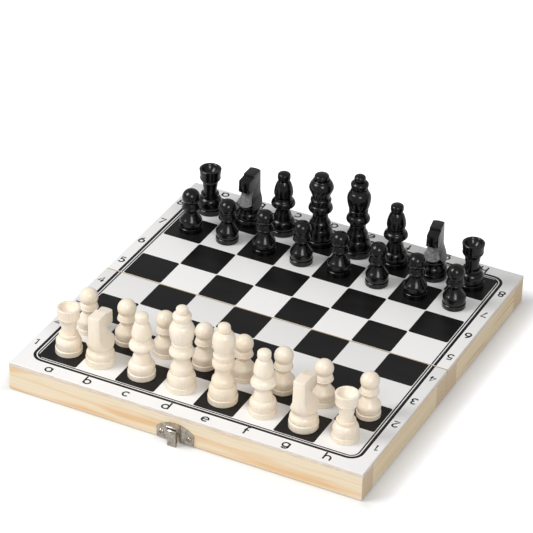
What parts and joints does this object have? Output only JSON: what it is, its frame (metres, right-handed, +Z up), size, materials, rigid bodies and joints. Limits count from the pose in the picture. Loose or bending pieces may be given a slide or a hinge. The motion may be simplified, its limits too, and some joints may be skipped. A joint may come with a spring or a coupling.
{
  "type": "folding chess board",
  "caption": "Folding wooden chess board, open and set up: two hinged tray halves with printed squares, a latch on the front rail and turned men that lift off.",
  "frame": {"origin": "middle of the seam between the two halves, on the plane of the rims that the open board stands on", "axes": "+X from the a file to the h file, +Y from the white side to the black side, +Z up; the latch is on the -Y rail"},
  "size_m": [0.24, 0.2522, 0.081],
  "materials": {
    "printed_panel": "thin plywood, white lacquer with black screen print, satin",
    "pine": "planed pine, clear satin varnish",
    "pale_lacquer": "turned pale hardwood, clear satin varnish",
    "black_lacquer": "turned hardwood, gloss black lacquer",
    "nickel_plate": "pressed steel, nickel plated"
  },
  "bodies": {
    "front_case": {"front_panel": "printed_panel", "front_rail": "pine", "front_mid_rail": "pine", "front_left_rail": "pine", "front_right_rail": "pine", "left_hinge_front_leaf": "nickel_plate", "right_hinge_front_leaf": "nickel_plate", "left_hinge_pin": "nickel_plate", "right_hinge_pin": "nickel_plate", "front_hinge_screws": "nickel_plate", "clasp_plate": "nickel_plate", "clasp_pin": "nickel_plate", "clasp_screws": "nickel_plate"},
    "back_case": {"back_panel": "printed_panel", "back_rail": "pine", "back_mid_rail": "pine", "back_left_rail": "pine", "back_right_rail": "pine", "left_hinge_back_leaf": "nickel_plate", "right_hinge_back_leaf": "nickel_plate", "back_hinge_screws": "nickel_plate", "catch_plate": "nickel_plate", "catch_screws": "nickel_plate"},
    "clasp_tongue": {"clasp_tongue": "nickel_plate"},
    "white_pawn_a": {"white_pawn_a": "pale_lacquer"},
    "white_pawn_b": {"white_pawn_b": "pale_lacquer"},
    "white_pawn_c": {"white_pawn_c": "pale_lacquer"},
    "white_pawn_d": {"white_pawn_d": "pale_lacquer"},
    "white_pawn_e": {"white_pawn_e": "pale_lacquer"},
    "white_pawn_f": {"white_pawn_f": "pale_lacquer"},
    "white_pawn_g": {"white_pawn_g": "pale_lacquer"},
    "white_pawn_h": {"white_pawn_h": "pale_lacquer"},
    "white_rook_a": {"white_rook_a": "pale_lacquer"},
    "white_rook_h": {"white_rook_h": "pale_lacquer"},
    "white_knight_b": {"white_knight_b": "pale_lacquer"},
    "white_knight_g": {"white_knight_g": "pale_lacquer"},
    "white_bishop_c": {"white_bishop_c": "pale_lacquer"},
    "white_bishop_f": {"white_bishop_f": "pale_lacquer"},
    "white_queen": {"white_queen": "pale_lacquer"},
    "white_king": {"white_king": "pale_lacquer"},
    "black_pawn_a": {"black_pawn_a": "black_lacquer"},
    "black_pawn_b": {"black_pawn_b": "black_lacquer"},
    "black_pawn_c": {"black_pawn_c": "black_lacquer"},
    "black_pawn_d": {"black_pawn_d": "black_lacquer"},
    "black_pawn_e": {"black_pawn_e": "black_lacquer"},
    "black_pawn_f": {"black_pawn_f": "black_lacquer"},
    "black_pawn_g": {"black_pawn_g": "black_lacquer"},
    "black_pawn_h": {"black_pawn_h": "black_lacquer"},
    "black_rook_a": {"black_rook_a": "black_lacquer"},
    "black_rook_h": {"black_rook_h": "black_lacquer"},
    "black_knight_b": {"black_knight_b": "black_lacquer"},
    "black_knight_g": {"black_knight_g": "black_lacquer"},
    "black_bishop_c": {"black_bishop_c": "black_lacquer"},
    "black_bishop_f": {"black_bishop_f": "black_lacquer"},
    "black_queen": {"black_queen": "black_lacquer"},
    "black_king": {"black_king": "black_lacquer"}
  },
  "joints": [
    {"name": "board_fold", "type": "hinge", "parent": "front_case", "child": "back_case", "pos_m": [0, 0, 0], "axis": [-1, 0, 0], "range_deg": [0, 180]},
    {"name": "clasp_swing", "type": "hinge", "parent": "front_case", "child": "clasp_tongue", "pos_m": [-0.0039, -0.1246, 0.009], "axis": [-1, 0, 0], "range_deg": [-12, 60]},
    {"name": "lift_white_pawn_a", "type": "slide", "parent": "front_case", "child": "white_pawn_a", "axis": [0, 0, 1], "range_m": [0, 0.08]},
    {"name": "lift_white_pawn_b", "type": "slide", "parent": "front_case", "child": "white_pawn_b", "axis": [0, 0, 1], "range_m": [0, 0.08]},
    {"name": "lift_white_pawn_c", "type": "slide", "parent": "front_case", "child": "white_pawn_c", "axis": [0, 0, 1], "range_m": [0, 0.08]},
    {"name": "lift_white_pawn_d", "type": "slide", "parent": "front_case", "child": "white_pawn_d", "axis": [0, 0, 1], "range_m": [0, 0.08]},
    {"name": "lift_white_pawn_e", "type": "slide", "parent": "front_case", "child": "white_pawn_e", "axis": [0, 0, 1], "range_m": [0, 0.08]},
    {"name": "lift_white_pawn_f", "type": "slide", "parent": "front_case", "child": "white_pawn_f", "axis": [0, 0, 1], "range_m": [0, 0.08]},
    {"name": "lift_white_pawn_g", "type": "slide", "parent": "front_case", "child": "white_pawn_g", "axis": [0, 0, 1], "range_m": [0, 0.08]},
    {"name": "lift_white_pawn_h", "type": "slide", "parent": "front_case", "child": "white_pawn_h", "axis": [0, 0, 1], "range_m": [0, 0.08]},
    {"name": "lift_white_rook_a", "type": "slide", "parent": "front_case", "child": "white_rook_a", "axis": [0, 0, 1], "range_m": [0, 0.08]},
    {"name": "lift_white_rook_h", "type": "slide", "parent": "front_case", "child": "white_rook_h", "axis": [0, 0, 1], "range_m": [0, 0.08]},
    {"name": "lift_white_knight_b", "type": "slide", "parent": "front_case", "child": "white_knight_b", "axis": [0, 0, 1], "range_m": [0, 0.08]},
    {"name": "lift_white_knight_g", "type": "slide", "parent": "front_case", "child": "white_knight_g", "axis": [0, 0, 1], "range_m": [0, 0.08]},
    {"name": "lift_white_bishop_c", "type": "slide", "parent": "front_case", "child": "white_bishop_c", "axis": [0, 0, 1], "range_m": [0, 0.08]},
    {"name": "lift_white_bishop_f", "type": "slide", "parent": "front_case", "child": "white_bishop_f", "axis": [0, 0, 1], "range_m": [0, 0.08]},
    {"name": "lift_white_queen", "type": "slide", "parent": "front_case", "child": "white_queen", "axis": [0, 0, 1], "range_m": [0, 0.08]},
    {"name": "lift_white_king", "type": "slide", "parent": "front_case", "child": "white_king", "axis": [0, 0, 1], "range_m": [0, 0.08]},
    {"name": "lift_black_pawn_a", "type": "slide", "parent": "back_case", "child": "black_pawn_a", "axis": [0, 0, 1], "range_m": [0, 0.08]},
    {"name": "lift_black_pawn_b", "type": "slide", "parent": "back_case", "child": "black_pawn_b", "axis": [0, 0, 1], "range_m": [0, 0.08]},
    {"name": "lift_black_pawn_c", "type": "slide", "parent": "back_case", "child": "black_pawn_c", "axis": [0, 0, 1], "range_m": [0, 0.08]},
    {"name": "lift_black_pawn_d", "type": "slide", "parent": "back_case", "child": "black_pawn_d", "axis": [0, 0, 1], "range_m": [0, 0.08]},
    {"name": "lift_black_pawn_e", "type": "slide", "parent": "back_case", "child": "black_pawn_e", "axis": [0, 0, 1], "range_m": [0, 0.08]},
    {"name": "lift_black_pawn_f", "type": "slide", "parent": "back_case", "child": "black_pawn_f", "axis": [0, 0, 1], "range_m": [0, 0.08]},
    {"name": "lift_black_pawn_g", "type": "slide", "parent": "back_case", "child": "black_pawn_g", "axis": [0, 0, 1], "range_m": [0, 0.08]},
    {"name": "lift_black_pawn_h", "type": "slide", "parent": "back_case", "child": "black_pawn_h", "axis": [0, 0, 1], "range_m": [0, 0.08]},
    {"name": "lift_black_rook_a", "type": "slide", "parent": "back_case", "child": "black_rook_a", "axis": [0, 0, 1], "range_m": [0, 0.08]},
    {"name": "lift_black_rook_h", "type": "slide", "parent": "back_case", "child": "black_rook_h", "axis": [0, 0, 1], "range_m": [0, 0.08]},
    {"name": "lift_black_knight_b", "type": "slide", "parent": "back_case", "child": "black_knight_b", "axis": [0, 0, 1], "range_m": [0, 0.08]},
    {"name": "lift_black_knight_g", "type": "slide", "parent": "back_case", "child": "black_knight_g", "axis": [0, 0, 1], "range_m": [0, 0.08]},
    {"name": "lift_black_bishop_c", "type": "slide", "parent": "back_case", "child": "black_bishop_c", "axis": [0, 0, 1], "range_m": [0, 0.08]},
    {"name": "lift_black_bishop_f", "type": "slide", "parent": "back_case", "child": "black_bishop_f", "axis": [0, 0, 1], "range_m": [0, 0.08]},
    {"name": "lift_black_queen", "type": "slide", "parent": "back_case", "child": "black_queen", "axis": [0, 0, 1], "range_m": [0, 0.08]},
    {"name": "lift_black_king", "type": "slide", "parent": "back_case", "child": "black_king", "axis": [0, 0, 1], "range_m": [0, 0.08]}
  ]
}
